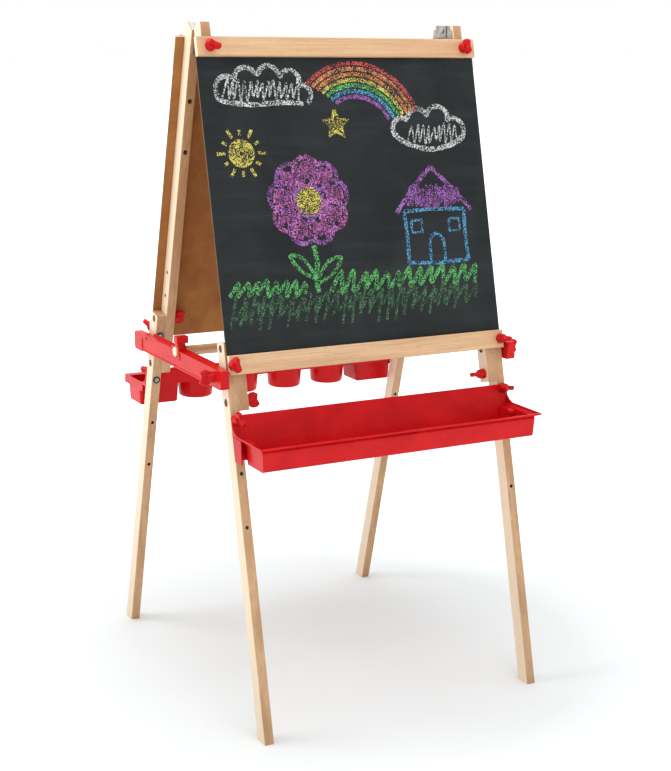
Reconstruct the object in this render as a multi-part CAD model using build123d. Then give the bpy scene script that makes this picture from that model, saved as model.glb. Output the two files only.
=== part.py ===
"""Double-sided standing easel: two leaning timber frames hinged at the top.

Millimetres, +Z up, origin on the floor at the middle of the stance. The
chalkboard faces -Y and the dry-erase board faces +Y.

Each leaning panel is drawn upright in its own panel frame: X across, y = 0 on
the inner face of its timber, -y outward, and -z down the slope from the tops
of the posts. on_front() and on_rear() then lean it into place.
"""

import os
from math import cos, radians, sin, tan

from build123d import *

os.makedirs("parts", exist_ok=True)

# Stance
HEIGHT = 1194.0  # floor to the level tops of the posts
LEAN = 14.0  # each frame from the vertical
TOP_GAP = 1.2  # inner face of a post from the middle plane, at its top
PIVOT_DROP = 9.0  # hinge pivot below the tops
C, S, T = cos(radians(LEAN)), sin(radians(LEAN)), tan(radians(LEAN))

# Timber stock, shared by the upper posts and the lower legs
STOCK_X = 18.0
STOCK_Y = 28.0
ROUND = 1.6  # eased long edges
POST_IN = 244.6  # inner side face of a post from the middle
POST_OUT = POST_IN + STOCK_X
LEG_IN = POST_OUT + 0.3  # the leg lies against the outer side of the post
LEG_OUT = LEG_IN + STOCK_X
POST_MID = POST_IN + STOCK_X / 2
LEG_MID = LEG_IN + STOCK_X / 2
POST_LENGTH = 668.0
LEG_TOP = 550.0  # top end of a lower leg, down the slope
NOTCH_HALF = 20.5  # bevelled top corners: half width at the tops
NOTCH_DEPTH = 14.5

# Holes: distances down the slope
HOLE_PITCH = 92.0
SIDE_BOLTS = (LEG_TOP + 10.0, LEG_TOP + 10.0 + HOLE_PITCH)
BRACE_BOLT = sum(SIDE_BOLTS) / 2
SPARE_SIDE_HOLES = (SIDE_BOLTS[0] - HOLE_PITCH / 2, SIDE_BOLTS[0] - HOLE_PITCH)
TOP_BAR = 51.0
BOTTOM_BAR = 590.0
TRAY_BOLT = BOTTOM_BAR + HOLE_PITCH
SPARE_FACE_HOLES = (TRAY_BOLT + HOLE_PITCH, TRAY_BOLT + 2 * HOLE_PITCH)
POST_POCKETS = (140.0, 233.0)  # unused counterbored holes in the inner faces

# Boards and the bars that clamp them
BOARD_HALF = 278.0
BOARD_T = 3.2
BAR_H = 33.4
BAR_T = 8.8
CLEAR = 0.3
BOARD_TOP = TOP_BAR - BAR_H / 2
BOARD_BOTTOM = BOTTOM_BAR + BAR_H / 2 - 1.5
BOARD_FACE = -STOCK_Y - BOARD_T
BAR_BACK = BOARD_FACE - CLEAR
BAR_FACE = BAR_BACK - BAR_T

# Fasteners
SHANK_R = 3.0
HOLE_R = 3.3
HEAD_R = 6.0
HEAD_T = 1.8
SUNK_R = 3.9  # bolt heads that sit down in a counterbore
SUNK_T = 2.6
POCKET_R = 6.8
POCKET_D = 4.2
SOCKET_R = 2.4
SOCKET_D = 1.6
KNOB_BORE_R = SHANK_R + 0.06
KNOB_GRIP = 13.0  # length of shank inside a knob
HUB_R = 9.6
HUB_TOP_R = 7.6
HUB_H = 13.0
WING_R = 13.5
WING_T = 8.0
KNOB_H = 25.0

# Hinge plates on the inner sides of the posts
PLATE_T = 1.7
PIVOT_Z = HEIGHT - PIVOT_DROP
HINGE_SCREWS = (35.0, 67.0)
EAR = 12.0  # how far the rear plate reaches past the middle plane
EYE_R = 5.5
TAB_T = 1.5

# Braces, outside the legs, level
BRACE_IN = 283.6
BRACE_OUT = 299.5
HOOK_IN = 286.6  # the rear hook is narrower, to pass the wings of the rear bar's knobs
SKIN = 2.6
WEB_SUNK = 1.2  # the web lies this far below the ribs of the outer face
BRACE_Y = TOP_GAP + BRACE_BOLT * S + STOCK_Y / 2 * C
BRACE_Z = HEIGHT - BRACE_BOLT * C + STOCK_Y / 2 * S
BRACE_LOW = BRACE_Z - 17.4
BRACE_TOP = BRACE_Z + 15.0
BRACE_END = BRACE_Y + 43.0  # rear end
BRACE_NOSE = BRACE_Y + 31.0  # front end
PIN_R = 5.0

# Paper-roll dowel and its keepers
DOWEL_R = 9.0
DOWEL_Z = BRACE_TOP - 2.4
DOWEL_HALF = 303.0
KEEPER_Y = 16.5
KEEPER_Z = BRACE_TOP + 4.1

# Trays
SHEET = 2.5
TRAY_FLOOR = 472.0
TRAY_WALL_TOP = 509.0
TRAY_RIM = 516.0
TRAY_HALF = 273.4
RIM_HALF = 281.6
TRAY_FRONT = 299.4
RIM_FRONT = 308.4
EDGE = 2.6  # height of the rim's upright edge
NOTCH_FRONT = -238.0  # arched notch in each end wall, beside the leg
PLATE_TOP = 674.5  # tray back plate, down the slope
PLATE_W = 3.0
CUP_PITCH = 99.0
CUP_Y = 266.0
CUP_TOP_R = 36.5
CUP_LOW_R = 33.0
CUP_FLOOR = 469.5
WELL_IN = 199.0


def block(x, y, z):
    """A box from three (low, high) spans."""
    size = [hi - lo for lo, hi in (x, y, z)]
    mid = [(hi + lo) / 2 for lo, hi in (x, y, z)]
    return Pos(*mid) * Box(*size)


def rod_x(r, x, y, z):
    """A cylinder along X over the span x."""
    return Pos((x[0] + x[1]) / 2, y, z) * Rot(0, 90, 0) * Cylinder(r, x[1] - x[0])


def rod_y(r, x, y, z):
    """A cylinder along Y over the span y."""
    return Pos(x, (y[0] + y[1]) / 2, z) * Rot(90, 0, 0) * Cylinder(r, y[1] - y[0])


def slab_x(points, x):
    """A (y, z) outline stretched over the span x."""
    face = make_face(Polyline(*[(0, y, z) for y, z in points], close=True))
    return Pos(x[0], 0, 0) * extrude(face, x[1] - x[0], dir=(1, 0, 0))


def left(shape):
    return mirror(shape, about=Plane.YZ)


def on_front(shape):
    return Pos(0, -TOP_GAP, HEIGHT) * Rot(-LEAN, 0, 0) * shape


def on_rear(shape):
    return mirror(on_front(shape), about=Plane.XZ)


def save(name, *shapes):
    whole = shapes[0] if len(shapes) == 1 else Compound(children=list(shapes))
    export_step(whole, f"parts/{name}.step")


def eased(stick):
    """Timber with its long edges eased."""
    return fillet(stick.edges().filter_by(Axis.Z), ROUND)


def post():
    """Right upper post in the panel frame, before its top is cut level."""
    stick = eased(block((POST_IN, POST_OUT), (-STOCK_Y, 0), (-POST_LENGTH, 20)))
    for s in (*SIDE_BOLTS, *SPARE_SIDE_HOLES, BRACE_BOLT):
        stick -= rod_x(HOLE_R, (POST_IN - 1, POST_OUT + 1), -STOCK_Y / 2, -s)
    inner = (POST_IN - 1, POST_IN + POCKET_D)
    stick -= rod_x(POCKET_R, inner, -STOCK_Y / 2, -BRACE_BOLT)
    stick -= rod_y(HOLE_R, POST_MID, (-STOCK_Y - 1, 1), -TOP_BAR)
    for s in HINGE_SCREWS:
        stick -= rod_x(1.8, (POST_IN - 1, POST_IN + 13), -STOCK_Y / 2, -s)
    for s in POST_POCKETS:
        stick -= rod_y(4.6, POST_MID, (-4.0, 1), -s)
        stick -= rod_y(2.2, POST_MID, (-20.0, 1), -s)
    return stick


def placed_post():
    """Right front post: leaned, cut level at the top and bevelled at the notch."""
    stick = on_front(post())
    stick -= block((200, 300), (-100, 100), (HEIGHT, HEIGHT + 60))
    low = HEIGHT - NOTCH_DEPTH
    shoulder = -(TOP_GAP + NOTCH_DEPTH * T)
    bevel = [(-NOTCH_HALF, HEIGHT), (shoulder, low), (10, low), (10, HEIGHT + 9)]
    return stick - slab_x(bevel + [(-NOTCH_HALF, HEIGHT + 9)], (200, 300))


def placed_leg():
    """Right front lower leg: leaned and cut level where it meets the floor."""
    stick = eased(block((LEG_IN, LEG_OUT), (-STOCK_Y, 0), (-1300, -LEG_TOP)))
    for s in (*SIDE_BOLTS, BRACE_BOLT):
        stick -= rod_x(HOLE_R, (LEG_IN - 1, LEG_OUT + 1), -STOCK_Y / 2, -s)
    for s in SIDE_BOLTS:
        outer = (LEG_OUT - POCKET_D, LEG_OUT + 1)
        stick -= rod_x(POCKET_R, outer, -STOCK_Y / 2, -s)
    for s in (BOTTOM_BAR, TRAY_BOLT, *SPARE_FACE_HOLES):
        stick -= rod_y(HOLE_R, LEG_MID, (-STOCK_Y - 1, 1), -s)
    stick = on_front(stick)
    return stick - block((200, 300), (-500, 100), (-200, 0))


def board():
    """Writing board in the panel frame, drilled for the four bar bolts."""
    sheet = block(
        (-BOARD_HALF, BOARD_HALF), (BOARD_FACE, -STOCK_Y), (-BOARD_BOTTOM, -BOARD_TOP)
    )
    sheet = fillet(sheet.edges().filter_by(Axis.Y), 2.0)
    for side in (-1, 1):
        span = (BOARD_FACE - 1, -STOCK_Y + 1)
        sheet -= rod_y(HOLE_R, side * POST_MID, span, -TOP_BAR)
        sheet -= rod_y(HOLE_R, side * LEG_MID, span, -BOTTOM_BAR)
    return sheet


def clamp_bar(s, bolt_x):
    """Flat timber bar across the board, centred s down the slope."""
    bar = block(
        (-BOARD_HALF, BOARD_HALF), (BAR_FACE, BAR_BACK), (-s - BAR_H / 2, -s + BAR_H / 2)
    )
    bar = fillet(bar.edges().filter_by(Axis.X), 1.4)
    for side in (-1, 1):
        bar -= rod_y(HOLE_R, side * bolt_x, (BAR_FACE - 1, BAR_BACK + 1), -s)
    return bar


def wing_knob():
    """Wing knob standing on z = 0 with its bore open below and its wing across X."""
    low = (Align.CENTER, Align.CENTER, Align.MIN)
    hub = Cone(HUB_R, HUB_TOP_R, HUB_H, align=low)
    hub = fillet(hub.edges().group_by(Axis.Z)[-1], 3.0)
    half = [(HUB_R - 2.2, 1.5), (WING_R, 11.0), (WING_R, KNOB_H - 7.0), (WING_R - 4.0, KNOB_H)]
    outline = [*half, (0, KNOB_H - 3.5), *[(-x, z) for x, z in reversed(half)]]
    face = make_face(Polyline(*[(x, 0, z) for x, z in outline], close=True))
    wing = extrude(face, WING_T / 2, both=True)
    wing = fillet([e for e in wing.edges().filter_by(Axis.Y) if e.center().Z > 5], 3.4)
    above = [e for e in wing.edges() if e.center().Z > 2.5]
    wing = fillet([e for e in above if abs(e.center().Y) > WING_T / 2 - 0.01], 2.4)
    bore = Cylinder(KNOB_BORE_R, KNOB_GRIP + 1.0, align=low)
    return hub + wing - bore


def face_knob(x, s, base, turn):
    """Knob on an outward face of a panel, in the panel frame."""
    return Pos(x, base - CLEAR, -s) * Rot(90, 0, 0) * Rot(0, 0, turn) * KNOB


def side_knob(s, turn):
    """Knob on the inner side of the right post, in the panel frame."""
    return Pos(POST_IN - CLEAR, -STOCK_Y / 2, -s) * Rot(0, -90, 0) * Rot(0, 0, turn) * KNOB


def face_bolt(x, s, face):
    """Bolt out through a panel, its flat head on the inner face of the timber."""
    head = rod_y(HEAD_R, x, (0, HEAD_T), -s)
    head = fillet(head.edges().group_by(Axis.Y)[-1], 0.9)
    socket = extrude(RegularPolygon(SOCKET_R, 6), SOCKET_D, both=True)
    head -= Pos(x, HEAD_T, -s) * Rot(90, 0, 0) * socket
    return head + rod_y(SHANK_R, x, (face - CLEAR - KNOB_GRIP, 0), -s)


def sunk_head(seat, facing, s):
    """Socket head standing on a counterbore's floor at X = seat, facing +X or -X."""
    top = seat + facing * SUNK_T
    head = rod_x(SUNK_R, sorted((seat, top)), -STOCK_Y / 2, -s)
    head = fillet(head.edges().group_by(Axis.X)[-1 if facing > 0 else 0], 0.8)
    socket = extrude(RegularPolygon(SOCKET_R, 6), SOCKET_D, both=True)
    return head - Pos(top, -STOCK_Y / 2, -s) * Rot(0, 90, 0) * socket


def side_bolt(s):
    """Bolt in through leg and post, its head sunk in the outer side of the leg."""
    seat = LEG_OUT - POCKET_D
    end = POST_IN - CLEAR - KNOB_GRIP
    return sunk_head(seat, 1, s) + rod_x(SHANK_R, (end, seat), -STOCK_Y / 2, -s)


def brace_bolt(end):
    """Bolt out through post and leg, its head sunk in the inner side of the post."""
    seat = POST_IN + POCKET_D
    return sunk_head(seat, -1, BRACE_BOLT) + rod_x(SHANK_R, (seat, end), -STOCK_Y / 2, -BRACE_BOLT)


def brace_pin():
    """Rear bolt that carries the sleeve the brace hooks over."""
    end = BRACE_OUT - SKIN - WEB_SUNK - 0.6
    sleeve = rod_x(PIN_R, (LEG_OUT, end), -STOCK_Y / 2, -BRACE_BOLT)
    return brace_bolt(LEG_OUT) + fillet(sleeve.edges().group_by(Axis.X)[-1], 0.8)


def hinge_plate(inner):
    """Steel strap and ear of a hinge plate, in place on the right front post, from X = inner."""
    span = (inner, inner + PLATE_T)
    strap = on_front(block(span, (-24.0, -4.0), (-80.0, -14.0)))
    ear = fillet(block(span, (-NOTCH_HALF, 0), (HEIGHT - 22.0, HEIGHT)).edges().filter_by(Axis.X), 1.5)
    plate = strap + ear + rod_x(EYE_R, span, 0, PIVOT_Z)
    for s in HINGE_SCREWS:
        plate -= on_front(rod_x(2.1, (inner - 1, inner + 3), -STOCK_Y / 2, -s))
    return plate


def hinge_tab(inner):
    """The rear plate's wide ear and the tab folded from it over the post's bevel, drawn at the front."""
    ear = block((inner, inner + PLATE_T), (-NOTCH_HALF, EAR), (HEIGHT - 22.0, HEIGHT))
    low = HEIGHT - NOTCH_DEPTH
    run = NOTCH_HALF - TOP_GAP - NOTCH_DEPTH * T
    size = (run**2 + NOTCH_DEPTH**2) ** 0.5
    out = (TAB_T * NOTCH_DEPTH / size, TAB_T * run / size)
    heel, toe = (-NOTCH_HALF, HEIGHT), (-NOTCH_HALF + run, low)
    outline = [heel, toe, (toe[0] + out[0], toe[1] + out[1]), (heel[0] + out[0], heel[1] + out[1])]
    tab = slab_x(outline, (inner, POST_OUT - 0.6))
    tab -= block((200, 300), (-60, 60), (HEIGHT, HEIGHT + 9))
    return fillet(ear.edges().filter_by(Axis.X), 1.5) + tab


def pivot_hole(inner):
    return rod_x(SHANK_R + 0.06, (inner - 1, inner + PLATE_T + 1), 0, PIVOT_Z)


def hinge_screw(s, seat):
    """Pan-head screw into the right front post, its head on a plate at X = seat."""
    head = rod_x(4.2, (seat - 2.0, seat), -STOCK_Y / 2, -s)
    head = fillet(head.edges().group_by(Axis.X)[0], 0.9)
    return on_front(head + rod_x(1.75, (seat, POST_IN + 12), -STOCK_Y / 2, -s))


def pivot_rivet():
    """Rivet through both plates on the hinge line, with a low head each side."""
    shank = rod_x(SHANK_R, (POST_IN - 5.6, POST_IN + 0.2), 0, PIVOT_Z)
    inner = rod_x(5.0, (POST_IN - 5.6, POST_IN - 4.0), 0, PIVOT_Z)
    outer = rod_x(4.4, (POST_IN + 0.1, POST_IN + 1.5), 0, PIVOT_Z)
    inner = fillet(inner.edges().group_by(Axis.X)[0], 0.8)
    return shank + inner + fillet(outer.edges().group_by(Axis.X)[-1], 0.7)


def hinge_washer(s):
    """Washer that packs the rear plate off its post."""
    ring = rod_x(6.0, (POST_IN - 2.0, POST_IN), -STOCK_Y / 2, -s)
    return on_front(ring - rod_x(2.1, (POST_IN - 3, POST_IN + 1), -STOCK_Y / 2, -s))


def brace():
    """Right brace: an inward-facing channel, pivoted at the front and hooked at the rear."""
    whole = (BRACE_IN, BRACE_OUT)
    inside = (BRACE_IN, BRACE_OUT - SKIN)
    hook = (HOOK_IN, BRACE_OUT)
    rear = BRACE_Y + PIN_R + 0.7
    sheet = (inside[1] - WEB_SUNK, whole[1] - WEB_SUNK)
    web = block(sheet, (-BRACE_NOSE, BRACE_END), (BRACE_LOW, BRACE_TOP))
    top = block(whole, (-BRACE_NOSE, BRACE_Y - 14), (BRACE_TOP - SKIN, BRACE_TOP))
    lip = block((BRACE_IN, BRACE_IN + SKIN), (-140, 140), (BRACE_TOP - 8, BRACE_TOP + 3))
    lip -= block((BRACE_IN - 1, BRACE_IN + 3), (-14.5, 14.5), (BRACE_TOP, BRACE_TOP + 4))
    foot = block(whole, (-BRACE_Y, rear), (BRACE_LOW, BRACE_LOW + SKIN))
    foot -= block((BRACE_IN - 1, inside[1] - 1), (118, rear), (BRACE_LOW - 1, BRACE_LOW + 9))
    boss = block(whole, (-BRACE_NOSE, -BRACE_Y + 18), (BRACE_LOW, BRACE_TOP))
    wall = block(hook, (rear, BRACE_END), (BRACE_LOW - 2, BRACE_TOP))
    cap = block(hook, (BRACE_Y - 14, BRACE_END), (BRACE_Z + PIN_R + 0.8, BRACE_TOP))
    cradle = block(whole, (-14, 14), (DOWEL_Z - 14, BRACE_TOP))
    ribs = [block(inside, (y - 1.2, y + 1.2), (BRACE_LOW, BRACE_TOP)) for y in (-100, -55, 55, 100)]
    arm = web + top + lip + foot + boss + wall + cap + cradle + ribs
    ends = arm.edges().filter_by(Axis.X).group_by(Axis.Y)
    arm = fillet(ends[0], 4.0)
    arm = fillet(arm.edges().filter_by(Axis.X).group_by(Axis.Y)[-1], 7.0)
    slot = DOWEL_R + CLEAR
    arm -= rod_x(slot, (BRACE_IN - 1, BRACE_OUT + 1), 0, DOWEL_Z)
    arm -= block((BRACE_IN - 1, BRACE_OUT + 1), (-slot, slot), (DOWEL_Z, BRACE_TOP + 9))
    arm -= rod_x(SHANK_R + 0.08, (BRACE_IN - 1, BRACE_OUT + 1), -BRACE_Y, BRACE_Z)
    for x in ((BRACE_IN, BRACE_IN + 3.7), (BRACE_OUT - 3.7, BRACE_OUT)):
        cheek = rod_x(3.0, x, KEEPER_Y, KEEPER_Z)
        arm += cheek + block(x, (KEEPER_Y - 3, KEEPER_Y + 3), (BRACE_TOP - 1, KEEPER_Z))
    return arm - rod_x(1.52, (BRACE_IN - 1, BRACE_OUT + 1), KEEPER_Y, KEEPER_Z)


def keeper():
    """Right dowel keeper: a saddle over the dowel with a thumb tab on top."""
    middle = (BRACE_IN + 4.0, BRACE_OUT - 4.0)
    wide = (BRACE_IN + 0.4, BRACE_OUT - 0.4)
    saddle = rod_x(DOWEL_R + 4.0, wide, 0, DOWEL_Z)
    saddle -= block((200, 400), (-20, 0), (DOWEL_Z - 20, BRACE_TOP + 0.4))
    saddle -= block((200, 400), (0, 20), (DOWEL_Z - 20, BRACE_TOP + 2.6))
    stem = block(wide, (-6, 6), (DOWEL_Z + 8, DOWEL_Z + 16))
    tab = block((BRACE_IN - 5.0, BRACE_OUT + 1.5), (-8, 8), (DOWEL_Z + 15, DOWEL_Z + 28))
    tab = fillet(tab.edges(), 1.6)
    ear = block(middle, (8, KEEPER_Y), (KEEPER_Z - 1.6, KEEPER_Z + 2.9))
    ear += rod_x(2.9, middle, KEEPER_Y, KEEPER_Z)
    whole = saddle + stem + tab + ear
    whole -= rod_x(DOWEL_R + 0.4, (200, 400), 0, DOWEL_Z)
    return whole - rod_x(1.57, (200, 400), KEEPER_Y, KEEPER_Z)


def panel_point(w, s):
    """World (y, z) of a front-panel point w out from the inner face, s down."""
    return (-(TOP_GAP + s * S + w * C), HEIGHT - s * C + w * S)


def plate_line(z, w):
    """World y, on the front, of the plane w out from the inner faces, at height z."""
    return -(TOP_GAP + (HEIGHT + w * S - z) / C * S + w * C)


def back_plate(bottom):
    """Leaning back plate of a tray, from PLATE_TOP down to the height bottom."""
    z_top = panel_point(STOCK_Y, PLATE_TOP)[1]
    outer, inner = STOCK_Y + PLATE_W, STOCK_Y
    outline = [
        (plate_line(bottom, inner), bottom),
        (plate_line(z_top, inner), z_top),
        (plate_line(z_top, outer), z_top + PLATE_W * S),
        (plate_line(bottom, outer), bottom),
    ]
    plate = slab_x(outline, (-RIM_HALF, RIM_HALF))
    top = plate.edges().filter_by(Axis.X, reverse=True).group_by(Axis.Z)[-1]
    ends = [e for e in top if e.length < 2 * PLATE_W]
    plate = fillet(ends, 5.0) if ends else plate
    for side in (-1, 1):
        plate -= on_front(
            rod_y(HOLE_R, side * LEG_MID, (-STOCK_Y - 9, -STOCK_Y + 1), -TRAY_BOLT)
        )
    return plate


def end_web():
    """Curved web that runs the end rim of a tray up into its back plate."""
    foot = plate_line(TRAY_RIM, STOCK_Y + PLATE_W - 1)
    high = TRAY_RIM + 15
    back = plate_line(high, STOCK_Y + PLATE_W - 1)
    curve = ThreePointArc((0, back, high), (0, back - 9, TRAY_RIM + 5), (0, foot - 26, TRAY_RIM))
    base = Polyline((0, foot - 26, TRAY_RIM), (0, foot - 26, TRAY_RIM - 2), (0, foot, TRAY_RIM - 2))
    face = make_face([curve, *base.edges(), Line((0, foot, TRAY_RIM - 2), (0, back, high))])
    return Pos(RIM_HALF - SHEET, 0, 0) * extrude(face, SHEET, dir=(1, 0, 0))


def tapered(z, half, front, back):
    """Solid between two level rectangles; each pair is (low, high)."""
    faces = []
    for i in (0, 1):
        y0, y1 = -front[i], back[i]
        rect = Pos(0, (y0 + y1) / 2, z[i]) * Rectangle(2 * half[i], y1 - y0)
        faces.append(rect)
    return loft(faces)


def trough(wall):
    """Outside of the front tray's trough, or its cavity when wall is the sheet's thickness."""
    low, high = TRAY_FLOOR + wall, TRAY_WALL_TOP
    w = STOCK_Y + (PLATE_W if wall else 1.0)
    back = (plate_line(low, w), plate_line(high, w))
    half = (TRAY_HALF - 2.4 - wall, TRAY_HALF - wall)
    front = (TRAY_FRONT - 1.2 - wall, TRAY_FRONT - wall)
    body = tapered((low, high), half, front, back)
    corners = body.edges().group_by(Axis.Y)[0]
    body = fillet([*corners, *body.edges().group_by(Axis.Z)[0].sort_by(Axis.Y)[:1]], 4.5 - wall)
    arch = 9.0 - wall
    for side in (-1, 1):
        x = sorted((side * (TRAY_HALF - 12 - wall), side * (TRAY_HALF + 9)))
        y = (NOTCH_FRONT - wall, plate_line(TRAY_WALL_TOP, STOCK_Y) - 12 + wall)
        crown = TRAY_WALL_TOP - 3 + wall
        body -= block(x, y, (TRAY_FLOOR - 9, crown - arch))
        body -= block(x, (y[0] + arch, y[1]), (TRAY_FLOOR - 9, crown))
        body -= rod_x(arch, x, y[0] + arch, crown - arch)
    return body


def rim(wall):
    """Flared rim above the trough walls and its upright edge, or the inside of both."""
    low, high = TRAY_WALL_TOP - 0.1, TRAY_RIM - EDGE
    back = (plate_line(low, STOCK_Y + 1), plate_line(high, STOCK_Y + 1))
    half = (TRAY_HALF - wall, RIM_HALF - wall)
    flare = tapered((low, high), half, (TRAY_FRONT - wall, RIM_FRONT - wall), back)
    edge = block((-half[1], half[1]), (wall - RIM_FRONT, back[1]), (high - 0.1, TRAY_RIM))
    return flare + edge


def front_tray():
    """Chalk trough with a leaning back plate and turned-down end flanges."""
    skirt = TRAY_FLOOR - 1
    tray = trough(0) + rim(0) + back_plate(TRAY_FLOOR)
    w_low, w_high = STOCK_Y + 25, STOCK_Y + 32
    flange = [
        (plate_line(skirt, STOCK_Y), skirt),
        (plate_line(TRAY_RIM - 4, STOCK_Y), TRAY_RIM - 4),
        (plate_line(TRAY_RIM - 4, w_high), TRAY_RIM - 4),
        (plate_line(skirt, w_low), skirt),
    ]
    for shape in (slab_x(flange, (RIM_HALF - SHEET, RIM_HALF)), end_web()):
        tray += shape + left(shape)
    cavity = trough(SHEET) + Pos(0, 0, 0.05) * rim(SHEET)
    keep = back_plate(TRAY_FLOOR)
    return tray - (cavity - keep)


def rear_tray():
    """Cup tray, drawn on the front side: a deck with four cups and two end wells."""
    deck_back = plate_line(TRAY_RIM - SHEET, STOCK_Y)
    deck = block((-RIM_HALF, RIM_HALF), (-RIM_FRONT, deck_back), (TRAY_RIM - SHEET, TRAY_RIM))
    skirt_low = TRAY_RIM - 16
    skirt = block((-RIM_HALF, RIM_HALF), (-RIM_FRONT, -215), (skirt_low, TRAY_RIM))
    skirt -= block(
        (-RIM_HALF + SHEET, RIM_HALF - SHEET), (-RIM_FRONT + SHEET, -214), (skirt_low - 1, TRAY_RIM - 1)
    )
    tray = deck + skirt + back_plate(TRAY_RIM - SHEET)
    web = end_web()
    tray += web + left(web)
    cavities = []
    for k in (-1.5, -0.5, 0.5, 1.5):
        tray += cup(k * CUP_PITCH, 0)
        cavities.append(cup(k * CUP_PITCH, SHEET))
    for side in (-1, 1):
        tray += end_well(side, 0)
        cavities.append(end_well(side, SHEET))
    for cavity in cavities:
        tray -= cavity
    return tray


def cup(x, shrink):
    """Round cup, or its cavity when shrink is the wall, at a front-side X."""
    low = CUP_FLOOR + shrink
    top = TRAY_RIM + (1 if shrink else 0)
    body = Cone(CUP_LOW_R - shrink, CUP_TOP_R - shrink, top - low)
    body = fillet(body.edges().group_by(Axis.Z)[0], 5.0 - shrink)
    return Pos(x, -CUP_Y, (low + top) / 2) * body


def end_well(side, shrink):
    """Rectangular end well, or its cavity when shrink is the wall."""
    low = TRAY_FLOOR - 3 + shrink
    top = TRAY_RIM + (1 if shrink else 0)
    x = ((WELL_IN + RIM_HALF) / 2) * side
    width = RIM_HALF - WELL_IN - 2 * shrink
    depth = 66.0 - 2 * shrink
    faces = [
        Pos(x, -260, low) * Rectangle(width - 5, depth - 5),
        Pos(x, -260, top) * Rectangle(width, depth),
    ]
    body = loft(faces)
    body = fillet(body.edges().filter_by(Axis.Z, reverse=True).group_by(Axis.Z)[1], 6.0 - shrink)
    return fillet(body.edges().group_by(Axis.Z)[0], 3.5)


# Timber frames
for name, place in (("front", lambda p: p), ("rear", lambda p: mirror(p, about=Plane.XZ))):
    save(f"{name}_left_post", place(left(placed_post())))
    save(f"{name}_right_post", place(placed_post()))
    save(f"{name}_left_leg", place(left(placed_leg())))
    save(f"{name}_right_leg", place(placed_leg()))

# Boards and clamp bars
save("chalkboard", on_front(board()))
save("dry_erase_board", on_rear(board()))
save("front_top_bar", on_front(clamp_bar(TOP_BAR, POST_MID)))
save("front_bottom_bar", on_front(clamp_bar(BOTTOM_BAR, LEG_MID)))
save("rear_top_bar", on_rear(clamp_bar(TOP_BAR, POST_MID)))
save("rear_bottom_bar", on_rear(clamp_bar(BOTTOM_BAR, LEG_MID)))

# Bolts
TRAY_FACE = -STOCK_Y - PLATE_W
for name, place in (("front", on_front), ("rear", on_rear)):
    bar_bolts = []
    tray_bolts = []
    leg_bolts = []
    for side in (-1, 1):
        bar_bolts.append(place(face_bolt(side * POST_MID, TOP_BAR, BAR_FACE)))
        bar_bolts.append(place(face_bolt(side * LEG_MID, BOTTOM_BAR, BAR_FACE)))
        tray_bolts.append(place(face_bolt(side * LEG_MID, TRAY_BOLT, TRAY_FACE)))
    for s in SIDE_BOLTS:
        leg_bolts.append(place(side_bolt(s)))
        leg_bolts.append(place(left(side_bolt(s))))
    save(f"{name}_bar_bolts", *bar_bolts)
    save(f"{name}_tray_bolts", *tray_bolts)
    save(f"{name}_leg_bolts", *leg_bolts)
brace_end = BRACE_OUT + CLEAR + KNOB_GRIP
save("brace_bolts", on_front(brace_bolt(brace_end)), on_front(left(brace_bolt(brace_end))))
save("brace_hook_pins", on_rear(brace_pin()), on_rear(left(brace_pin())))

# Wing knobs; each was tightened to its own angle
KNOB = wing_knob()
FRONT_TURNS = {"top": (65, 4), "bottom": (8, 75), "tray": (20, 80)}
REAR_TURNS = {"top": (15, 70), "bottom": (60, 10), "tray": (85, 25)}
for name, place, turns in (("front", on_front, FRONT_TURNS), ("rear", on_rear, REAR_TURNS)):
    for at, x, s, base in (
        ("top", POST_MID, TOP_BAR, BAR_FACE),
        ("bottom", LEG_MID, BOTTOM_BAR, BAR_FACE),
        ("tray", LEG_MID, TRAY_BOLT, TRAY_FACE),
    ):
        for hand, side, turn in (("left", -1, turns[at][0]), ("right", 1, turns[at][1])):
            save(f"{name}_{at}_{hand}_knob", place(face_knob(side * x, s, base, turn + 90)))
LEG_TURNS = {
    "front_left": (30, 15),
    "front_right": (75, 90),
    "rear_left": (10, 60),
    "rear_right": (80, 35),
}
for corner, turns in LEG_TURNS.items():
    place = on_front if corner.startswith("front") else on_rear
    for level, s, turn in zip(("upper", "lower"), SIDE_BOLTS, turns):
        knob = side_knob(s, turn)
        knob = left(knob) if corner.endswith("left") else knob
        save(f"{corner}_leg_{level}_knob", place(knob))
outer_knob = Pos(BRACE_OUT + CLEAR, -STOCK_Y / 2, -BRACE_BOLT) * Rot(0, 90, 0) * Rot(0, 0, 20) * KNOB
save("right_brace_knob", on_front(outer_knob))
save("left_brace_knob", on_front(left(outer_knob)))

# Hinges
FRONT_SEAT = POST_IN - PLATE_T
REAR_SEAT = FRONT_SEAT - 2.0
front_plate = hinge_plate(FRONT_SEAT) - pivot_hole(FRONT_SEAT)
rear_plate = hinge_plate(REAR_SEAT) + hinge_tab(REAR_SEAT) - pivot_hole(REAR_SEAT)
rear_plate = mirror(rear_plate, about=Plane.XZ)
save("front_hinge_plates", front_plate, left(front_plate))
save("rear_hinge_plates", rear_plate, left(rear_plate))
save("hinge_rivets", pivot_rivet(), left(pivot_rivet()))
front_screws = [hinge_screw(s, FRONT_SEAT) for s in HINGE_SCREWS]
rear_screws = [mirror(hinge_screw(s, REAR_SEAT), about=Plane.XZ) for s in HINGE_SCREWS]
washers = [mirror(hinge_washer(s), about=Plane.XZ) for s in HINGE_SCREWS]
save("front_hinge_screws", *front_screws, *[left(p) for p in front_screws])
save("rear_hinge_screws", *rear_screws, *[left(p) for p in rear_screws])
save("hinge_washers", *washers, *[left(p) for p in washers])

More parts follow.
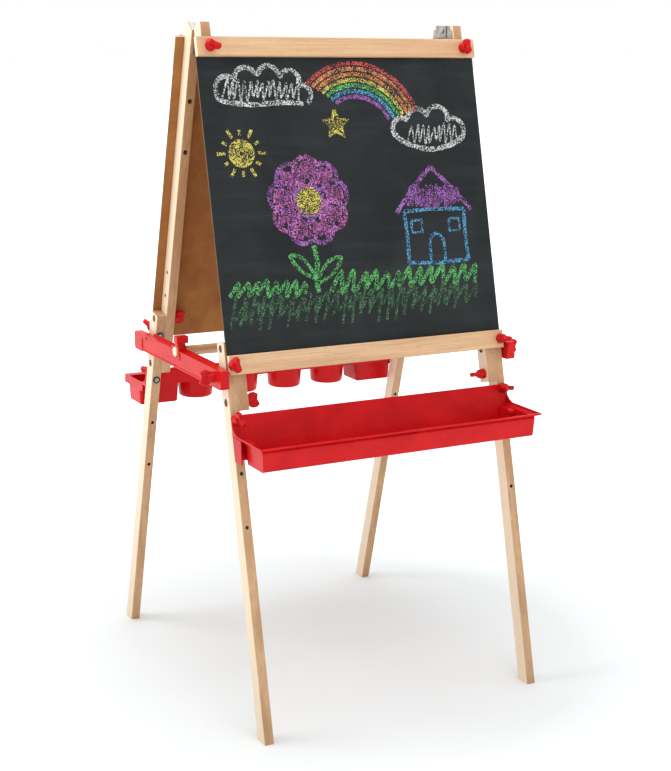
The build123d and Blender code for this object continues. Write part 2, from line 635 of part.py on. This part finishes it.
# Braces, dowel and keepers
save("right_brace", brace())
save("left_brace", left(brace()))
save("paper_roll_dowel", chamfer(rod_x(DOWEL_R, (-DOWEL_HALF, DOWEL_HALF), 0, DOWEL_Z).edges(), 1.0))
save("right_dowel_keeper", keeper())
save("left_dowel_keeper", left(keeper()))
keeper_pin = rod_x(1.5, (BRACE_IN, BRACE_OUT), KEEPER_Y, KEEPER_Z)
save("right_keeper_pin", keeper_pin)
save("left_keeper_pin", left(keeper_pin))

# Trays
save("front_tray", front_tray())
save("rear_cup_tray", mirror(rear_tray(), about=Plane.XZ))
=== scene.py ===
"""Looks for the double-sided standing easel, on the frame that its CAD model sets.

Metres, +Z up, origin on the floor at the middle of the stance. The chalkboard
faces -Y. Each panel leans 14 degrees, and panel_point() places things on it.
"""

import math
import random

import bpy
from mathutils import Matrix, Vector


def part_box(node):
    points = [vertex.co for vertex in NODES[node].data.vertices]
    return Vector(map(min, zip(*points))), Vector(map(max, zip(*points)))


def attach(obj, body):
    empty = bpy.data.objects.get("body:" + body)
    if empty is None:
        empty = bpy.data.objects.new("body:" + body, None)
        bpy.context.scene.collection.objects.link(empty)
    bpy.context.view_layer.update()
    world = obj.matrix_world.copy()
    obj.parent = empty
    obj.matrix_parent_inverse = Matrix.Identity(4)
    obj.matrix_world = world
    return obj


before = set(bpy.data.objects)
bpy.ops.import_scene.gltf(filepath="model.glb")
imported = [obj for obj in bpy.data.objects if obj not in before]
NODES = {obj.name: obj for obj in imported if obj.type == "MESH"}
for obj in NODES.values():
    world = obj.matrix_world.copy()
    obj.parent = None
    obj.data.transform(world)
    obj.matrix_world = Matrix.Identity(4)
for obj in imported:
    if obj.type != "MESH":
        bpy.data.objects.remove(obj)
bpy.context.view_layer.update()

MM = 0.001
WHITE = (1.0, 1.0, 1.0, 1.0)
LEAN = math.radians(14.0)
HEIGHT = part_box("front_right_post")[1].z
TOP_GAP = 1.2 * MM  # from the middle of the stance to each panel's inner face, at its top
PAINT_FACE = 31.2 * MM  # outward distance of the writing surface from the posts' inner faces


def panel_point(u, s, w, side=-1):
    """Place on a leaning panel: u across, s down its slope, w outward; side -1 is the front."""
    y = TOP_GAP + s * math.sin(LEAN) + w * math.cos(LEAN)
    return Vector((u, side * y, HEIGHT - s * math.cos(LEAN) + w * math.sin(LEAN)))


def add_object(name, data):
    """An object of its own in the scene, holding a mesh, a light or a camera."""
    made = bpy.data.objects.new(name, data)
    bpy.context.scene.collection.objects.link(made)
    return made


# ------------------------------------------------------------ colours and nodes


def srgb(red, green, blue):
    """Linear colour from screen values of 11 to 255, the curved part of the sRGB scale."""
    linear = [((value / 255 + 0.055) / 1.055) ** 2.4 for value in (red, green, blue)]
    return (*linear, 1.0)


class Graph:
    """One material under construction, with short calls for the nodes it needs."""

    def __init__(self, name):
        self.material = bpy.data.materials.new(name)
        self.material.use_nodes = True
        self.tree = self.material.node_tree
        self.shader = self.tree.nodes["Principled BSDF"]
        coordinates = self.add("ShaderNodeTexCoord").outputs
        self.place, self.normal = coordinates["Object"], coordinates["Normal"]

    def add(self, kind, inputs=None, **settings):
        """A new node, with its settings, and with its inputs set or linked."""
        made = self.tree.nodes.new(kind)
        for key, value in settings.items():
            setattr(made, key, value)
        for key, value in (inputs or {}).items():
            self.put(made.inputs[key], value)
        return made

    def put(self, socket, value):
        """Links value to the socket if it is another node's output, or else sets it."""
        if isinstance(value, bpy.types.NodeSocket):
            self.tree.links.new(value, socket)
        else:
            socket.default_value = value

    def set(self, **values):
        """Sets or links the shader's own inputs, with _ for a space in their names."""
        for key, value in values.items():
            self.put(self.shader.inputs[key.replace("_", " ")], value)

    def mapped(self, scale, shift=(0, 0, 0), turn=(0, 0, 0)):
        """The object's coordinates, scaled along each axis, moved and turned."""
        inputs = {"Vector": self.place, "Scale": scale, "Location": shift, "Rotation": turn}
        return self.add("ShaderNodeMapping", inputs).outputs["Vector"]

    def noise(self, where, detail=3.0, rough=0.5, twist=0.0):
        """Cloudy values round 0.5, as coarse or fine as where is scaled."""
        inputs = {"Vector": where, "Scale": 1.0, "Detail": detail, "Roughness": rough, "Distortion": twist}
        return self.add("ShaderNodeTexNoise", inputs).outputs["Fac"]

    def math(self, how, first, second=0.0):
        """One operation on one or two values, by Blender's name for it."""
        return self.add("ShaderNodeMath", {0: first, 1: second}, operation=how).outputs[0]

    def spread(self, value, low, high, to_low=0.0, to_high=1.0):
        """Value with its stretch from low to high made to run from to_low to to_high, and held there."""
        inputs = {"Value": value, "From Min": low, "From Max": high, "To Min": to_low, "To Max": to_high}
        return self.add("ShaderNodeMapRange", inputs).outputs["Result"]

    def blend(self, amount, first, second):
        """A colour that goes from first to second as amount goes from 0 to 1."""
        made = self.add("ShaderNodeMix", data_type="RGBA", blend_type="MIX")
        first_colour, second_colour, result = made.inputs[6], made.inputs[7], made.outputs[2]
        self.put(made.inputs["Factor"], amount)
        self.put(first_colour, first)
        self.put(second_colour, second)
        return result

    def sideways(self):
        """1 on a surface that faces left or right, 0 on one that faces any way square to that."""
        across = self.add("ShaderNodeSeparateXYZ", {"Vector": self.normal}).outputs["X"]
        return self.math("ABSOLUTE", across)

    def enclosed(self, reach):
        """Low on the walls of a drilled hole, 1 on open faces; other pieces don't count."""
        inputs = {"Distance": reach}
        made = self.add("ShaderNodeAmbientOcclusion", inputs, only_local=True, samples=8)
        return made.outputs["AO"]

    def bump(self, height, distance, strength):
        """Relief on the shader's normal; distance is its depth."""
        inputs = {"Height": height, "Distance": distance, "Strength": strength}
        self.set(Normal=self.add("ShaderNodeBump", inputs).outputs["Normal"])


# ------------------------------------------------------------------- materials


HOLE_REACH = 7.0 * MM  # painted shade: the piece's own walls darken a point when they are nearer than this


def timber(name, lean, across, seed):
    """Lacquered beech. Its grain runs up the leaning panel, or across it for bars and dowels.

    Uprights are a little darker and more strongly streaked than bars; the darker tone is
    partly painted shade, for the legs low under the trays. Every piece has a painted pale
    sheen on its left and right sides and painted shade inside its drilled holes.
    """
    g = Graph(name)
    turn = (lean, 0, 0)
    shift = (0.37 * seed, 1.91 * seed, 0.73 * seed)

    def grain(wide, long):
        """Coordinates in which a noise is drawn out along the grain."""
        return g.mapped((long, wide, wide) if across else (wide, wide, long), shift, turn)

    rings = g.noise(grain(38, 1.6), detail=2.0, twist=0.7)
    fine = g.noise(grain(260, 9.0), detail=4.0, rough=0.65)
    fleck = g.noise(grain(900, 70.0), detail=1.0)
    cloud = g.noise(grain(4, 4), detail=2.0)
    # Uprights get a darker tone than bars: partly painted shade for the legs low under the trays, partly
    # streakier wood.
    if across:
        pale, warm, streaks = srgb(220, 184, 144), srgb(196, 154, 113), 0.42
    else:
        pale, warm, streaks = srgb(200, 161, 120), srgb(174, 132, 92), 0.62
    wood = g.blend(g.spread(rings, 0.36, 0.66), pale, warm)
    wood = g.blend(g.spread(fine, 0.42, 0.70, 0.0, streaks), wood, srgb(168, 122, 80))
    wood = g.blend(g.spread(fleck, 0.62, 0.74, 0.0, 0.38), wood, srgb(142, 97, 60))
    wood = g.blend(g.spread(cloud, 0.35, 0.7, 0.0, 0.28), wood, srgb(216, 172, 130))
    # Painted sheen: faces turned left or right are made paler, as where the side light glances off the
    # lacquer.
    wood = g.blend(g.spread(g.sideways(), 0.5, 0.9, 0.0, 0.68), wood, srgb(241, 224, 198))
    # Painted shade: dark brown inside drilled holes, where the piece's own walls close round a point.
    wood = g.blend(g.spread(g.enclosed(HOLE_REACH), 0.72, 0.42), wood, srgb(46, 30, 20))
    g.set(Base_Color=wood, Roughness=g.spread(fine, 0.3, 0.7, 0.36, 0.52))
    g.set(Coat_Weight=0.08, Coat_Roughness=0.25)
    g.bump(g.math("ADD", fine, g.math("MULTIPLY", fleck, 0.5)), 0.12 * MM, 0.55)
    return g.material


def outward(g, side):
    """Distance of a shaded point out from the inner faces of a panel's posts."""
    parts = g.add("ShaderNodeSeparateXYZ", {"Vector": g.place}).outputs
    level = g.math("MULTIPLY", g.math("SUBTRACT", parts["Z"], HEIGHT), math.sin(LEAN))
    y = g.math("SUBTRACT", g.math("MULTIPLY", parts["Y"], float(side)), TOP_GAP)
    return g.math("ADD", g.math("MULTIPLY", y, math.cos(LEAN)), level)


def hardboard(g):
    """Colour of brown pressed fibre, for the backs and edges of both boards, with painted shade on their left
    and right edges.
    """
    mottle = g.noise(g.mapped((16, 16, 16)), detail=5.0, rough=0.6)
    fibre = g.noise(g.mapped((420, 420, 420)), detail=3.0, rough=0.7)
    brown = g.blend(g.spread(mottle, 0.35, 0.68), srgb(170, 116, 64), srgb(146, 92, 46))
    brown = g.blend(g.spread(fibre, 0.45, 0.75, 0.0, 0.45), brown, srgb(120, 76, 38))
    # Painted shade: faces turned left or right, the boards' side edges, are darkened to grey-brown.
    return g.blend(g.spread(g.sideways(), 0.6, 0.9), brown, srgb(104, 82, 62))


PAINT_DEPTH = 0.05 * MM  # only what lies nearer than this to the writing surface is painted


def painted_board(name, side, face, rough, coat):
    """A board with one painted face; face(g) gives the paint's colour."""
    g = Graph(name)
    painted = g.math("GREATER_THAN", outward(g, side), PAINT_FACE - PAINT_DEPTH)
    tooth = g.noise(g.mapped((700, 700, 700)), detail=4.0, rough=0.7)
    g.set(Base_Color=g.blend(painted, hardboard(g), face(g)))
    g.set(Roughness=g.spread(painted, 0, 1, 0.72, rough), Coat_Weight=g.spread(painted, 0, 1, 0.0, coat))
    g.set(Coat_Roughness=0.08, Specular_IOR_Level=0.22)
    g.bump(tooth, 0.06 * MM, 0.5)
    return g.material


def slate(g):
    """Charcoal chalkboard paint with the pale haze of wiped chalk."""
    haze = g.noise(g.mapped((7, 7, 5), (3, 1, 2)), detail=4.0, rough=0.55, twist=0.9)
    wipes = g.noise(g.mapped((5, 60, 46), turn=(0.3, 0.5, 0)), detail=3.0)
    grit = g.noise(g.mapped((900, 900, 900)), detail=2.0)
    paint = g.blend(g.spread(haze, 0.35, 0.75), srgb(20, 24, 26), srgb(36, 40, 42))
    paint = g.blend(g.spread(wipes, 0.5, 0.8, 0.0, 0.07), paint, srgb(104, 108, 108))
    return g.blend(g.spread(grit, 0.58, 0.8, 0.0, 0.08), paint, srgb(140, 142, 140))


def melamine(g):
    """White dry-erase face with a faint grey ghosting."""
    ghost = g.noise(g.mapped((9, 9, 9), (5, 2, 8)), detail=4.0, twist=1.2)
    return g.blend(g.spread(ghost, 0.45, 0.8, 0.0, 0.5), srgb(217, 219, 220), srgb(198, 201, 204))


def red_plastic(name, shade=1.0):
    """Satin moulded polypropylene: a slight flow mottle, faint scuffs and fine orange peel.

    shade below 1 darkens it.
    """
    g = Graph(name)
    flow = g.noise(g.mapped((11, 11, 16)), detail=3.0, twist=0.6)
    peel = g.noise(g.mapped((330, 330, 330)), detail=2.0)
    scuff = g.noise(g.mapped((130, 700, 520), turn=(0.4, 0.2, 0.7)), detail=4.0, rough=0.7)
    bright, deep = (
        (red * shade, green * shade, blue * shade, 1.0)
        for red, green, blue, _ in (srgb(206, 22, 26), srgb(186, 12, 20))
    )
    body = g.blend(g.spread(flow, 0.35, 0.68), bright, deep)
    body = g.blend(g.spread(scuff, 0.62, 0.8, 0.0, 0.06), body, srgb(236, 100, 94))
    g.set(Base_Color=body, Roughness=g.spread(scuff, 0.4, 0.75, 0.24, 0.38))
    g.set(Specular_IOR_Level=0.14)
    g.bump(peel, 0.05 * MM, 0.35)
    return g.material


def zinc(name, rough=0.34):
    """Dull zinc plate: soft brushed streaks, cloudy tone and a few dark specks."""
    g = Graph(name)
    streak = g.noise(g.mapped((1400, 1400, 90)), detail=3.0, rough=0.7)
    cloud = g.noise(g.mapped((70, 70, 70)), detail=4.0)
    speck = g.noise(g.mapped((520, 520, 520)), detail=2.0)
    tone = g.blend(g.spread(cloud, 0.35, 0.7), srgb(188, 182, 174), srgb(148, 143, 136))
    tone = g.blend(g.spread(speck, 0.58, 0.72, 0.0, 0.6), tone, srgb(92, 88, 84))
    g.set(Base_Color=tone, Metallic=1.0, Roughness=g.spread(streak, 0.3, 0.7, rough - 0.08, rough + 0.12))
    g.bump(streak, 0.03 * MM, 0.4)
    return g.material


def chalk(name, colour):
    """Soft chalk: a matt powder that holds only to the high points of the board."""
    g = Graph(name)
    tooth = g.noise(g.mapped((430, 430, 430)), detail=3.0, rough=0.7)
    press = g.noise(g.mapped((60, 60, 60)), detail=2.0)
    cover = g.math("ADD", tooth, g.math("MULTIPLY", g.math("SUBTRACT", press, 0.5), 0.22))
    powder = g.noise(g.mapped((300, 300, 300), (4, 4, 4)), detail=2.0)
    dusty = (*(0.72 * part + 0.10 for part in colour[:3]), 1.0)
    g.set(Base_Color=g.blend(g.spread(powder, 0.35, 0.65), colour, dusty), Roughness=0.95)
    g.set(Specular_IOR_Level=0.1, Alpha=g.spread(cover, 0.485, 0.55))
    return g.material


def paint(node, material):
    """Gives a CAD node its material."""
    slots = NODES[node].data.materials
    if not slots:
        slots.append(material)
    for i in range(len(slots)):
        slots[i] = material


def dress_nodes():
    """Chooses the material of every CAD node by what the node is."""
    boards = {
        "chalkboard": (-1, slate, 0.62, 0.0),
        "dry_erase_board": (1, melamine, 0.22, 0.5),
    }
    red = red_plastic("red_plastic")
    knob_red = red_plastic("red_knob_plastic", 0.92)
    steel = zinc("zinc_plate")
    bolt = zinc("zinc_bolt", 0.4)
    for seed, node in enumerate(sorted(NODES)):
        lean = LEAN if node.startswith("rear") else -LEAN
        if node in boards:
            paint(node, painted_board(node, *boards[node]))
        elif node.endswith(("_post", "_leg")):
            paint(node, timber("timber_" + node, lean, False, seed))
        elif node.endswith("_bar") or node == "paper_roll_dowel":
            paint(node, timber("timber_" + node, lean, True, seed))
        elif node.endswith("_plates"):
            paint(node, steel)
        elif node.endswith(("bolts", "screws", "washers", "pins", "rivets", "_pin")):
            paint(node, bolt)
        elif node.endswith("_knob"):
            paint(node, knob_red)
        else:
            paint(node, red)


# -------------------------------------------------------------- chalk drawing

STROKE_LIFT = 0.12 * MM  # clear of the board, for the first stroke
LAYER_LIFT = 0.002 * MM  # each stroke above the one before, so that none share a plane
rng = random.Random(7)
CHALK = {
    "white": srgb(214, 218, 216),
    "red": srgb(206, 72, 66),
    "orange": srgb(224, 140, 74),
    "yellow": srgb(222, 206, 82),
    "green": srgb(84, 186, 92),
    "moss": srgb(46, 104, 58),
    "blue": srgb(70, 158, 206),
    "violet": srgb(172, 96, 192),
    "pink": srgb(204, 104, 186),
}
strokes = {colour: [] for colour in CHALK}


def between(before, start, end, after, t):
    """Catmull-Rom value at t from start to end, given the values on either side of them."""
    slope = end - before
    bend = 2 * before - 5 * start + 4 * end - after
    twist = 3 * start - before - 3 * end + after
    return 0.5 * (2 * start + slope * t + bend * t**2 + twist * t**3)


def smooth(points, per_span=8):
    """Curve through given points."""
    padded = [points[0], *points, points[-1]]
    out = []
    for four in zip(padded, padded[1:], padded[2:], padded[3:]):
        for i in range(per_span):
            out.append(tuple(between(*values, i / per_span) for values in zip(*four)))
    return [*out, points[-1]]


def draw(colour, points, width=7.0, curved=True):
    """Adds one chalk stroke through (u, s) points in millimetres on the board."""
    strokes[colour].append((smooth(points) if curved else points, width))


def arc(u, s, radius, start, stop, steps=14):
    """Points round (u, s); angles run clockwise from 0 degrees, straight up the board."""
    out = []
    for i in range(steps + 1):
        t = math.radians(start + (stop - start) * i / steps)
        out.append((u + radius * math.sin(t), s - radius * math.cos(t)))
    return out


def spot(u, s, radius, angle):
    """The place at this angle and radius from (u, s)."""
    return arc(u, s, radius, angle, angle, steps=1)[0]


def zigzag(u0, u1, top, bottom, turns, lean=0.0):
    """Unsteady up-and-down scribble from u0 to u1; its upper points are lean further along."""
    out = []
    for i in range(2 * turns + 1):
        u = u0 + (u1 - u0) * i / (2 * turns)
        s, shift = (top, lean) if i % 2 else (bottom, 0.0)
        out.append((u + shift + rng.uniform(-2, 2), s + rng.uniform(-5, 5)))
    return out


def draw_clouds():
    """Two outlined clouds, lightly scribbled in."""
    left_bumps = arc(-226, 122, 22, -120, 40) + arc(-190, 106, 21, -70, 60) + arc(-146, 102, 20, -70, 70)
    left_bumps += arc(-106, 110, 20, -60, 70) + arc(-84, 132, 17, -20, 150)
    draw("white", left_bumps, 8.5)
    draw("white", [(-84, 148), (-130, 146), (-185, 149), (-238, 142), (-247, 130)], 8.5)
    draw("white", zigzag(-236, -92, 110, 140, 13, 6), 3.2)
    right_bumps = arc(112, 196, 20, -130, 30) + arc(146, 182, 22, -70, 60) + arc(188, 180, 24, -70, 70)
    right_bumps += arc(221, 200, 22, -30, 160)
    draw("white", right_bumps, 9.0)
    draw("white", [(238, 212), (214, 226), (170, 234), (132, 227), (104, 214), (97, 204)], 9.0)
    draw("white", zigzag(122, 226, 190, 220, 9, 6), 2.8)


def draw_rainbow():
    """Bands round one centre, each a little shorter at both ends than the one outside it."""
    bands = ("red", "orange", "orange", "yellow", "green", "blue", "violet")
    for i, colour in enumerate(bands):
        draw(colour, arc(20, 212, 135 - 10.0 * i, -44 + 2 * i, 69 - i), 7.5)


def draw_flower():
    """A plain round flower with loop petals, a stem and two leaves."""
    centre = (-92, 318)
    for k in range(9):
        turn = 40 * k
        u, s = spot(*centre, 52, turn)
        draw("violet" if k % 3 else "pink", arc(u, s, 25, turn, turn + 400, steps=18), 8.0)
        draw("pink", zigzag(u - 16, u + 16, s - 13, s + 13, 5), 6.0)
    for radius in (24, 17, 10, 4):
        draw("yellow", arc(*centre, radius, 0, 370), 7.0)
    draw("green", [(-92, 396), (-88, 425), (-94, 455), (-90, 478)], 9.0)
    draw("green", [(-92, 455), (-120, 440), (-140, 412), (-116, 418), (-94, 448)], 6.5)
    draw("green", [(-90, 462), (-58, 446), (-40, 420), (-66, 426), (-88, 452)], 6.5)


def draw_sun():
    """A plain sun whose rays are longer and shorter in turn."""
    centre = (-212, 232)
    for radius in (21, 14, 7):
        draw("yellow", arc(*centre, radius, 0, 370), 7.0)
    for k in range(12):
        ray = [spot(*centre, radius, 30 * k) for radius in (30, 46 if k % 2 else 40)]
        draw("yellow", ray, 5.5, curved=False)


def draw_star():
    """A five-pointed star, scribbled in."""
    tips = [spot(-24, 186, 11 if i % 2 else 26, 36 * i) for i in range(11)]
    draw("yellow", tips, 6.5, curved=False)
    draw("yellow", zigzag(-36, -12, 180, 194, 5), 5.0)


def draw_house():
    """A plain house with a gable roof, door and windows."""
    draw("blue", [(98, 345), (100, 390), (98, 438)], 7.0)
    draw("blue", [(98, 438), (160, 441), (226, 438)], 7.0)
    draw("blue", [(226, 438), (224, 390), (226, 345)], 7.0)
    draw("blue", [(98, 345), (160, 343), (226, 345)], 7.0)
    draw("violet", [(82, 347), (120, 305), (162, 266)], 8.5)
    draw("violet", [(162, 266), (204, 306), (242, 347)], 8.5)
    draw("violet", zigzag(108, 216, 302, 336, 12, 4), 6.0)
    draw("blue", [(146, 438), (147, 400), (160, 388), (175, 400), (176, 438)], 6.0)
    for u in (122, 202):
        window = [(u - 11, 362), (u + 11, 362), (u + 11, 384), (u - 11, 384), (u - 11, 362)]
        draw("blue", window, 5.5, curved=False)


def draw_grass():
    """Bright tufts on either side of the flower's stem, over darker blades."""
    draw("green", zigzag(-262, -118, 456, 478, 8, 12), 6.5)
    draw("green", zigzag(-66, 236, 448, 480, 13, 14), 7.5)
    draw("moss", zigzag(-258, 232, 484, 514, 22, 16), 5.0)
    for k in range(26):
        u = -250 + 18.0 * k
        blade = [(u, 478 + rng.uniform(-4, 6)), (u - 8, 505), (u - 16, 526 + rng.uniform(-8, 14))]
        draw("moss", blade, 5.0)


def ribbon(points, width, lift):
    """Flat strip along a stroke, a little uneven like a worn stick of chalk."""
    verts, faces = [], []
    for i, (u, s) in enumerate(points):
        before, after = points[max(i - 1, 0)], points[min(i + 1, len(points) - 1)]
        du, ds = after[0] - before[0], after[1] - before[1]
        size = math.hypot(du, ds) or 1.0
        half = width / 2 * (1 + 0.12 * math.sin(1.7 * i) + 0.08 * math.sin(0.61 * i + width))
        for sign in (-1, 1):
            at = (u - sign * half * ds / size, s + sign * half * du / size)
            verts.append(panel_point(at[0] * MM, at[1] * MM, PAINT_FACE + lift))
        if i:
            faces.append((2 * i - 2, 2 * i - 1, 2 * i + 1, 2 * i))
    return verts, faces


def build_strokes():
    """One piece per colour of chalk, each stroke a hair above the last."""
    layer = 0
    for colour, lines in strokes.items():
        verts, faces = [], []
        for points, width in lines:
            layer += 1
            strip, quads = ribbon(points, width, STROKE_LIFT + LAYER_LIFT * layer)
            faces += [tuple(len(verts) + i for i in quad) for quad in quads]
            verts += strip
        mesh = bpy.data.meshes.new("chalk_" + colour)
        mesh.from_pydata(verts, [], faces)
        mesh.materials.append(chalk("chalk_" + colour, CHALK[colour]))
        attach(add_object("chalk_drawing_" + colour, mesh), "front_frame")


# -------------------------------------------------------------------- painted shade rings


# Outer and inner radius and thickness
FLAT_SHADE_RING = (6.6 * MM, 4.0 * MM, 0.8 * MM)
CUP_SHADE_RING = (6.9 * MM, 4.1 * MM, 2.1 * MM)
# Side bolts, in millimetres: pocket floor, distance down the slope, and the way the pocket faces
SIDE_SEATS = ((276.7, 560, 1), (276.7, 652, 1), (248.8, 606, -1))
SEAT_LIFT = 0.45  # from the pocket's floor to the middle of the ring
SIDE_BOLT_LINE = 14 * MM  # outward distance of the side bolts, the middle of the timber
# Bolts through the face, in millimetres: across, and down the slope
FACE_SEATS = ((271.9, 590), (271.9, 682))


def shade_ring_material():
    """Dusty black, for the rings that paint the shade round the bolt heads."""
    g = Graph("black_shade_ring")
    dust = g.noise(g.mapped((240, 240, 240)), detail=3.0)
    g.set(Base_Color=g.blend(g.spread(dust, 0.4, 0.75), srgb(22, 22, 24), srgb(44, 43, 42)), Roughness=0.55)
    return g.material


def ring(name, centre, axis, size, material, body):
    """Ring of one of the sizes above, about axis, a unit vector square to X or along it."""
    outer, inner, thick = size
    right = Vector((1, 0, 0)) if abs(axis.x) < 0.5 else Vector((0, 1, 0))
    up = axis.cross(right)
    half, count = thick / 2, 40
    verts, faces = [], []
    for depth, radius in ((-half, inner), (-half, outer), (half, outer), (half, inner)):
        for i in range(count):
            t = math.tau * i / count
            verts.append(centre + axis * depth + right * (radius * math.cos(t)) + up * (radius * math.sin(t)))
    for k in range(4):
        for i in range(count):
            j = (i + 1) % count
            near, far = k * count, (k + 1) % 4 * count
            faces.append((near + i, near + j, far + j, far + i))
    mesh = bpy.data.meshes.new(name)
    mesh.from_pydata(verts, [], faces)
    mesh.materials.append(material)
    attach(add_object(name, mesh), body)


def build_shade_rings():
    """Black rings of painted shade: in the side bolts' pockets, and round the inner bolt heads."""
    material = shade_ring_material()
    for body, side in (("front_frame", -1), ("rear_frame", 1)):
        outwards = Vector((0, side * math.cos(LEAN), math.sin(LEAN)))
        for hand, word in ((-1, "left"), (1, "right")):
            for k, (u, s, out) in enumerate(SIDE_SEATS, 1):
                across = hand * (u + SEAT_LIFT * out)
                centre = panel_point(across * MM, s * MM, SIDE_BOLT_LINE, side)
                ring(f"washer_{body}_{word}_{k}", centre, Vector((1, 0, 0)), FLAT_SHADE_RING, material, body)
            for k, (u, s) in enumerate(FACE_SEATS, 1):
                centre = panel_point(hand * u * MM, s * MM, -CUP_SHADE_RING[2] / 2, side)
                ring(f"cup_washer_{body}_{word}_{k}", centre, outwards, CUP_SHADE_RING, material, body)


# ------------------------------------------------------- floor, light, camera


FLOOR_HALF = 40.0
FLOOR_DROP = 0.2 * MM  # below the feet, so that the two don't share a plane


def build_floor():
    """White floor that glows away from the easel, to blend into the world in the main view."""
    mesh = bpy.data.meshes.new("floor")
    corners = [(-1, -1), (1, -1), (1, 1), (-1, 1)]
    mesh.from_pydata([(x * FLOOR_HALF, y * FLOOR_HALF, -FLOOR_DROP) for x, y in corners], [], [(0, 1, 2, 3)])
    g = Graph("studio_floor")
    away = g.add("ShaderNodeVectorMath", {0: g.place}, operation="LENGTH").outputs["Value"]
    glow = g.spread(away, 0.5, 1.5, 0.0, 0.7)
    g.set(Base_Color=(0.765, 0.81, 0.815, 1.0), Roughness=0.9, Specular_IOR_Level=0.05)
    g.set(Emission_Color=WHITE, Emission_Strength=glow)
    mesh.materials.append(g.material)
    add_object("studio_floor", mesh)


def aim(obj, location, target, roll=0.0):
    """Puts obj at location, looking at target, turned about its line of sight."""
    view = (Vector(target) - Vector(location)).to_track_quat("-Z", "Y").to_matrix().to_4x4()
    obj.matrix_world = Matrix.Translation(location) @ view @ Matrix.Rotation(roll, 4, "Z")


def softbox(name, location, target, size, power, colour=(1, 1, 1)):
    """Square area light, size metres along each side."""
    light = bpy.data.lights.new(name, "AREA")
    light.shape = "SQUARE"
    light.size = size
    light.energy = power
    light.color = colour
    aim(add_object(name, light), location, target)


def build_studio():
    """White world, a little dimmer in front of the easel, and three soft lights."""
    world = bpy.data.worlds.new("studio_world")
    bpy.context.scene.world = world
    world.use_nodes = True
    tree = world.node_tree
    where = tree.nodes.new("ShaderNodeTexCoord").outputs["Generated"]
    parts = tree.nodes.new("ShaderNodeSeparateXYZ")
    tree.links.new(where, parts.inputs["Vector"])
    fade = tree.nodes.new("ShaderNodeMapRange")
    tree.links.new(parts.outputs["Y"], fade.inputs["Value"])
    for key, value in (("From Min", -0.75), ("From Max", 0.0), ("To Min", 0.84), ("To Max", 1.0)):
        fade.inputs[key].default_value = value
    tree.links.new(fade.outputs["Result"], tree.nodes["Background"].inputs["Strength"])
    tree.nodes["Background"].inputs["Color"].default_value = WHITE
    upper, middle = (0, 0, 1.2), (0, 0, 0.65)
    softbox("side_light", (-1.3, 0.5, 1.9), upper, 0.9, 14, (1.0, 0.99, 0.98))
    softbox("front_light", (-0.3, -1.9, 3.2), middle, 1.6, 14)
    softbox("top_light", (0.1, 0.1, 3.3), middle, 2.0, 24)
    bpy.context.scene.view_settings.view_transform = "Standard"


def build_camera():
    """Three-quarter view from the front left, a little above the trays."""
    target = Vector((25.3, 0, 527.0)) * MM
    azimuth, pitch, roll = (math.radians(angle) for angle in (-28.74, 13.36, 0.83))
    distance = 2.830
    forward = Vector((-math.sin(azimuth), math.cos(azimuth), 0)) * math.cos(pitch)
    forward.z = -math.sin(pitch)
    optics = bpy.data.cameras.new("camera")
    optics.lens = 69.6
    optics.sensor_width = 36.0
    camera = add_object("camera", optics)
    aim(camera, target - forward * distance, target, roll)
    bpy.context.scene.camera = camera


dress_nodes()
draw_clouds()
draw_rainbow()
draw_star()
draw_sun()
draw_flower()
draw_house()
draw_grass()
build_strokes()
build_shade_rings()
build_floor()
build_studio()
build_camera()
